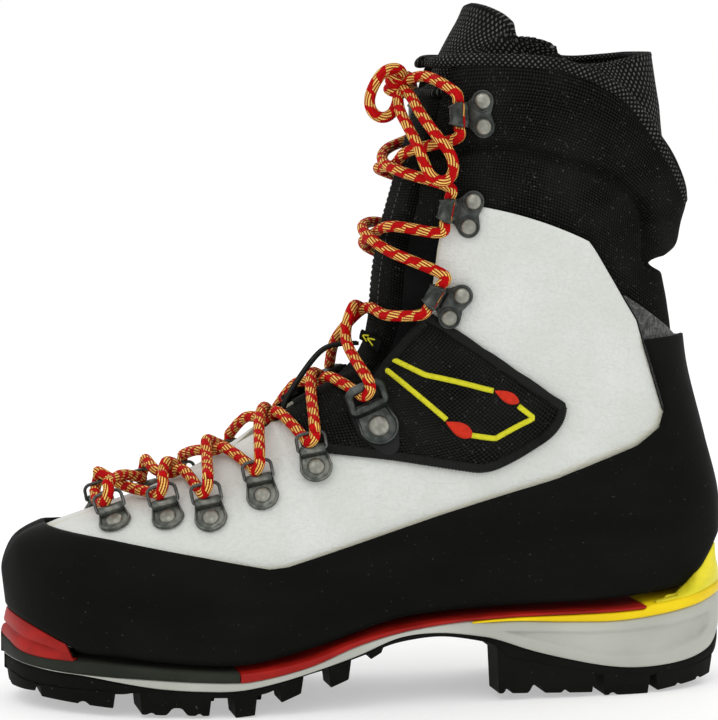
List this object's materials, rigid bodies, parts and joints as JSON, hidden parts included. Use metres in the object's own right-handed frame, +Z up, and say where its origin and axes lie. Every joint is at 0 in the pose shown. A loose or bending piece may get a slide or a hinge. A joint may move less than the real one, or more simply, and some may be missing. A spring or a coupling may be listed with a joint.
{
  "type": "mountaineering boot",
  "caption": "Laced high mountaineering boot for the left foot: leather and fabric upper, full rubber rand, stiff lugged sole, hinged lace rings and speed hooks.",
  "frame": {"origin": "on the ground under the middle of the boot's box", "axes": "+Z up, -X towards the toe, -Y towards the outer (lateral) side"},
  "size_m": [0.3051, 0.1056, 0.2842],
  "materials": {
    "black_fabric": "black padded weave",
    "board": "fibre board",
    "dark_grey": "matt dark grey",
    "dotted_fabric": "dark grey weave with light dots",
    "felt": "grey felt",
    "gunmetal": "dark gunmetal plating, worn edges",
    "lace": "round braided red lace with yellow tracers",
    "leather": "full-grain, light grey-white, fine grain",
    "light_grey": "light grey foam rubber",
    "red": "satin red",
    "rubber": "matt black rand rubber",
    "sole_rubber": "matt black lugged rubber",
    "wire": "round steel wire",
    "yellow": "satin yellow"
  },
  "bodies": {
    "boot": {"rand": "rubber", "toe_insert": "red", "leather_upper": "leather", "heel_felt": "felt", "toe_puff": "board", "heel_counter": "board", "ankle_patch_lateral": "black_fabric", "eyestay_lateral": "black_fabric", "ankle_patch_medial": "black_fabric", "eyestay_medial": "black_fabric", "cuff": "black_fabric", "collar_lining": "dotted_fabric", "toe_welt": "dark_grey", "welt_plate": "red", "heel_welt": "yellow", "midsole": "light_grey", "insole_board": "board", "footbed": "felt", "shank": "wire", "outsole": "sole_rubber", "lace_clip_lateral_1": "gunmetal", "lace_clip_lateral_2": "gunmetal", "lace_clip_lateral_3": "gunmetal", "lace_clip_lateral_4": "gunmetal", "lace_clip_lateral_5": "gunmetal", "lace_lock_lateral": "gunmetal", "speed_hook_lateral_1": "gunmetal", "speed_hook_lateral_2": "gunmetal", "speed_hook_lateral_3": "gunmetal", "lace_clip_medial_1": "gunmetal", "lace_clip_medial_2": "gunmetal", "lace_clip_medial_3": "gunmetal", "lace_clip_medial_4": "gunmetal", "lace_clip_medial_5": "gunmetal", "lace_lock_medial": "gunmetal", "speed_hook_medial_1": "gunmetal", "speed_hook_medial_2": "gunmetal", "speed_hook_medial_3": "gunmetal", "lace_lateral": "lace", "lace_medial": "lace", "lace_knot": "lace", "bow_loop_short": "lace", "bow_loop_long": "lace"},
    "d_ring_lateral_1": {"d_ring_lateral_1": "wire"},
    "d_ring_lateral_2": {"d_ring_lateral_2": "wire"},
    "d_ring_lateral_3": {"d_ring_lateral_3": "wire"},
    "d_ring_lateral_4": {"d_ring_lateral_4": "wire"},
    "d_ring_lateral_5": {"d_ring_lateral_5": "wire"},
    "lock_loop_lateral": {"lock_loop_lateral": "wire"},
    "d_ring_medial_1": {"d_ring_medial_1": "wire"},
    "d_ring_medial_2": {"d_ring_medial_2": "wire"},
    "d_ring_medial_3": {"d_ring_medial_3": "wire"},
    "d_ring_medial_4": {"d_ring_medial_4": "wire"},
    "d_ring_medial_5": {"d_ring_medial_5": "wire"},
    "lock_loop_medial": {"lock_loop_medial": "wire"},
    "tongue": {"tongue": "black_fabric", "tongue_flap": "dotted_fabric", "lace_keeper": "black_fabric", "tongue_label": "black_fabric"}
  },
  "joints": [
    {"name": "d_ring_lateral_1_hinge", "type": "hinge", "parent": "boot", "child": "d_ring_lateral_1", "pos_m": [-0.10997, -0.01384, 0.08029], "axis": [0.9387, -0.1159, 0.3247], "range_deg": [-10, 12], "deforming": ["lace_lateral", "lace_medial"]},
    {"name": "d_ring_lateral_2_hinge", "type": "hinge", "parent": "boot", "child": "d_ring_lateral_2", "pos_m": [-0.08978, -0.02449, 0.08357], "axis": [0.9481, -0.1669, 0.2706], "range_deg": [-10, 12], "deforming": ["lace_lateral", "lace_medial"]},
    {"name": "d_ring_lateral_3_hinge", "type": "hinge", "parent": "boot", "child": "d_ring_lateral_3", "pos_m": [-0.07359, -0.03316, 0.08485], "axis": [0.9594, -0.1884, 0.21], "range_deg": [-10, 12], "deforming": ["lace_lateral", "lace_medial"]},
    {"name": "d_ring_lateral_4_hinge", "type": "hinge", "parent": "boot", "child": "d_ring_lateral_4", "pos_m": [-0.05295, -0.03512, 0.09383], "axis": [0.9558, -0.2084, 0.2072], "range_deg": [-10, 12], "deforming": ["lace_lateral", "lace_medial"]},
    {"name": "d_ring_lateral_5_hinge", "type": "hinge", "parent": "boot", "child": "d_ring_lateral_5", "pos_m": [-0.03167, -0.03746, 0.10516], "axis": [0.977, -0.1013, 0.1878], "range_deg": [-10, 12], "deforming": ["lace_lateral", "lace_medial"]},
    {"name": "lock_loop_lateral_hinge", "type": "hinge", "parent": "boot", "child": "lock_loop_lateral", "pos_m": [-0.00747, -0.03342, 0.1217], "axis": [0.923, 0.0972, 0.3723], "range_deg": [-8, 12], "deforming": ["lace_lateral", "lace_medial"]},
    {"name": "d_ring_medial_1_hinge", "type": "hinge", "parent": "boot", "child": "d_ring_medial_1", "pos_m": [-0.10985, 0.02286, 0.08062], "axis": [-0.9564, -0.1086, -0.2712], "range_deg": [-10, 12], "deforming": ["lace_lateral", "lace_medial"]},
    {"name": "d_ring_medial_2_hinge", "type": "hinge", "parent": "boot", "child": "d_ring_medial_2", "pos_m": [-0.08962, 0.03055, 0.08389], "axis": [-0.9688, -0.1413, -0.2035], "range_deg": [-10, 12], "deforming": ["lace_lateral", "lace_medial"]},
    {"name": "d_ring_medial_3_hinge", "type": "hinge", "parent": "boot", "child": "d_ring_medial_3", "pos_m": [-0.07324, 0.03604, 0.08511], "axis": [-0.9902, -0.0899, -0.1073], "range_deg": [-10, 12], "deforming": ["lace_lateral", "lace_medial"]},
    {"name": "d_ring_medial_4_hinge", "type": "hinge", "parent": "boot", "child": "d_ring_medial_4", "pos_m": [-0.05267, 0.03539, 0.09402], "axis": [-0.9841, -0.1228, -0.1281], "range_deg": [-10, 12], "deforming": ["lace_lateral", "lace_medial"]},
    {"name": "d_ring_medial_5_hinge", "type": "hinge", "parent": "boot", "child": "d_ring_medial_5", "pos_m": [-0.03156, 0.03674, 0.10507], "axis": [-0.9818, -0.0871, -0.1688], "range_deg": [-10, 12], "deforming": ["lace_lateral", "lace_medial"]},
    {"name": "lock_loop_medial_hinge", "type": "hinge", "parent": "boot", "child": "lock_loop_medial", "pos_m": [-0.00752, 0.03346, 0.12161], "axis": [-0.9188, 0.0821, -0.386], "range_deg": [-8, 12], "deforming": ["lace_lateral", "lace_medial"]},
    {"name": "tongue_tilt", "type": "hinge", "parent": "boot", "child": "tongue", "pos_m": [-0.05092, 0.00394, 0.10201], "axis": [0, 1, 0], "range_deg": [0, 5], "deforming": ["lace_lateral", "lace_medial"]}
  ]
}
